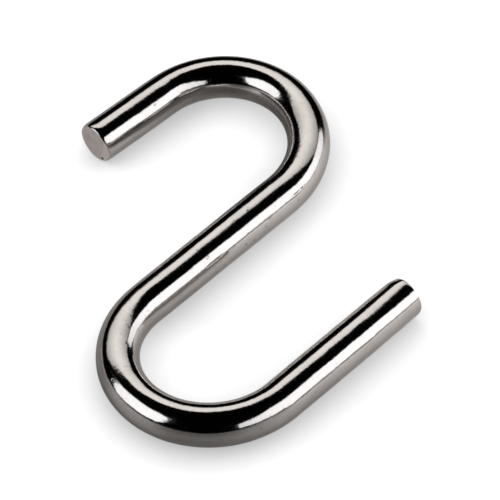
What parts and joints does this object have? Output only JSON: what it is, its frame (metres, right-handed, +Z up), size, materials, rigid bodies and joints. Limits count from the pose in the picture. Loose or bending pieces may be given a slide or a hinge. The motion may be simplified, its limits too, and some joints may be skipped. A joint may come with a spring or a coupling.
{
  "type": "s hook",
  "caption": "Open S hook bent from one length of round plated steel wire, with one short and one long leg, for hanging things from rails, rings or chain.",
  "frame": {"origin": "middle of the hook's outline, on the surface that it lies on", "axes": "+Y along the shank towards the upper bend, +X towards the long leg, +Z up, square to the plane of the hook"},
  "size_m": [0.0482, 0.0492, 0.005],
  "materials": {
    "plated_steel": "polished nickel plate on drawn steel wire, with dull grey sheared ends"
  },
  "bodies": {
    "root": {"hook": "plated_steel"}
  },
  "joints": []
}
